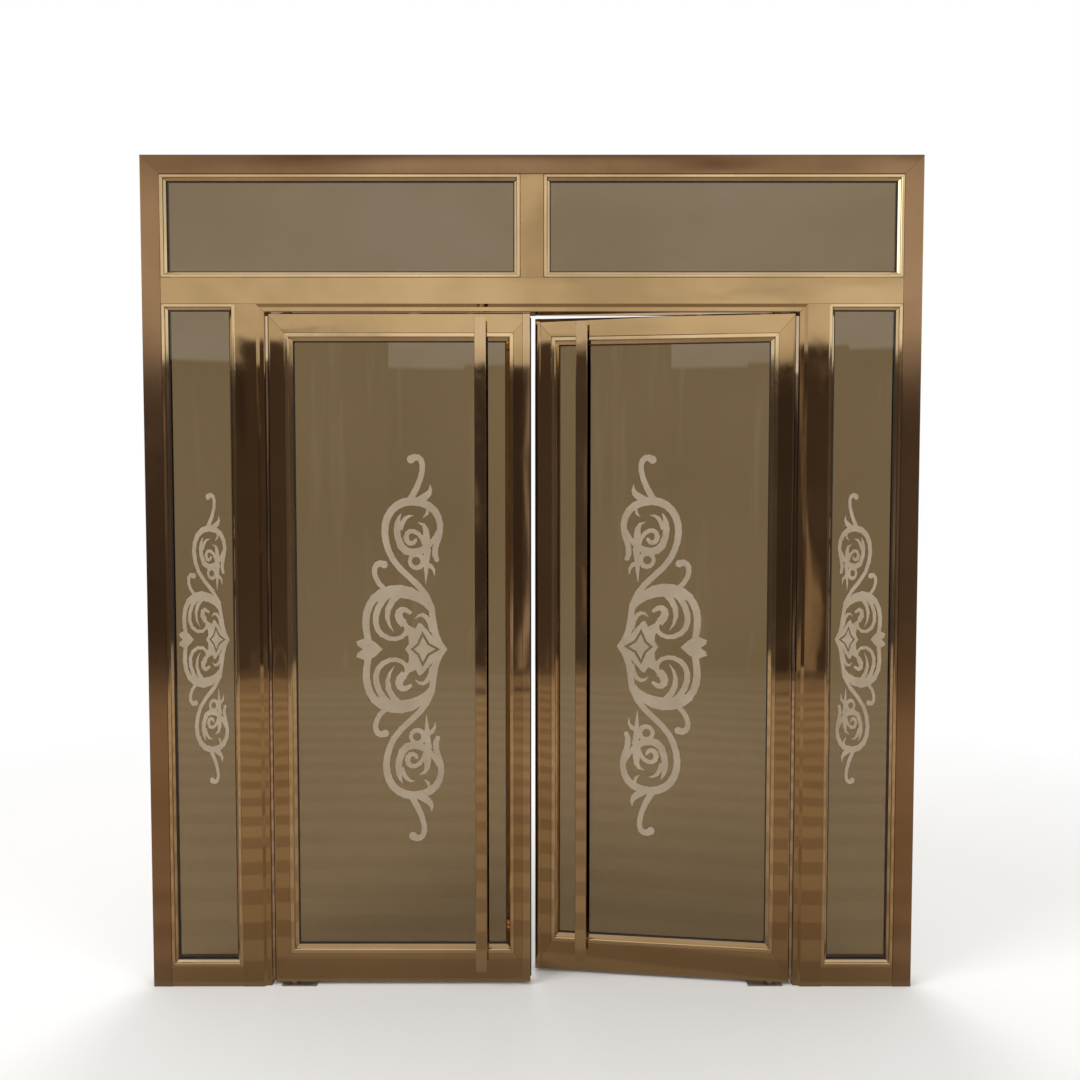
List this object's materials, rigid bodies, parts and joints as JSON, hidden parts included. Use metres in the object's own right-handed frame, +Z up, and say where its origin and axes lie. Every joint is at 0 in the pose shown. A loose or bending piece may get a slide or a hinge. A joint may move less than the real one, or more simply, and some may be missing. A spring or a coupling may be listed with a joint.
{
  "type": "double-leaf glazed entrance door set",
  "caption": "Gold-tone steel entrance door set: two pivoted glazed leaves with full-height pull bars, two sidelights, two transom lights and frosted scroll work on the glass",
  "frame": {"origin": "middle of the left jamb's foot, at floor level", "axes": "+X along the set from the left jamb to the right jamb seen from outside, +Y inwards into the building, +Z up"},
  "size_m": [2.44, 0.2352, 2.64],
  "materials": {
    "gold_steel": "mirror-polished gold-tone steel",
    "bright_gold_steel": "mirror-polished pale gold-tone steel",
    "clear_glass": "clear toughened glass with a warm bronze tint",
    "pivot_steel": "satin steel",
    "seal_rubber": "black glazing seal, matt",
    "frosted": "sandblasted, warm white"
  },
  "bodies": {
    "door_frame": {"left_jamb": "gold_steel", "right_jamb": "gold_steel", "head": "gold_steel", "transom_beam": "gold_steel", "left_mullion": "gold_steel", "right_mullion": "gold_steel", "transom_mullion": "gold_steel", "left_sidelight_sill": "gold_steel", "right_sidelight_sill": "gold_steel", "transom_beads": "bright_gold_steel", "sidelight_beads": "bright_gold_steel", "left_transom_glass": "clear_glass", "right_transom_glass": "clear_glass", "left_sidelight_glass": "clear_glass", "right_sidelight_glass": "clear_glass", "left_floor_pivot": "pivot_steel", "right_floor_pivot": "pivot_steel", "left_top_pivot": "pivot_steel", "right_top_pivot": "pivot_steel", "left_sidelight_scroll_work": "frosted", "right_sidelight_scroll_work": "frosted"},
    "left_leaf": {"left_leaf_hinge_stile": "gold_steel", "left_leaf_meeting_stile": "gold_steel", "left_leaf_top_rail": "gold_steel", "left_leaf_bottom_rail": "gold_steel", "left_leaf_beads": "bright_gold_steel", "left_leaf_glass": "clear_glass", "left_leaf_meeting_plates": "bright_gold_steel", "left_leaf_outer_pull_bar": "bright_gold_steel", "left_leaf_inner_pull_bar": "bright_gold_steel", "left_leaf_pull_posts": "gold_steel", "left_leaf_scroll_work": "frosted"},
    "right_leaf": {"right_leaf_hinge_stile": "gold_steel", "right_leaf_meeting_stile": "gold_steel", "right_leaf_top_rail": "gold_steel", "right_leaf_bottom_rail": "gold_steel", "right_leaf_beads": "bright_gold_steel", "right_leaf_glass": "clear_glass", "right_leaf_meeting_plates": "bright_gold_steel", "right_leaf_outer_pull_bar": "bright_gold_steel", "right_leaf_inner_pull_bar": "bright_gold_steel", "right_leaf_pull_posts": "gold_steel", "right_leaf_scroll_work": "frosted"}
  },
  "joints": [
    {"name": "left_leaf_swing", "type": "hinge", "parent": "door_frame", "child": "left_leaf", "pos_m": [0.418, -0.013, 0.03], "axis": [0, 0, 1], "range_deg": [-90, 90]},
    {"name": "right_leaf_swing", "type": "hinge", "parent": "door_frame", "child": "right_leaf", "pos_m": [1.962, -0.013, 0.03], "axis": [0, 0, -1], "range_deg": [-97.5, 82.5]}
  ]
}
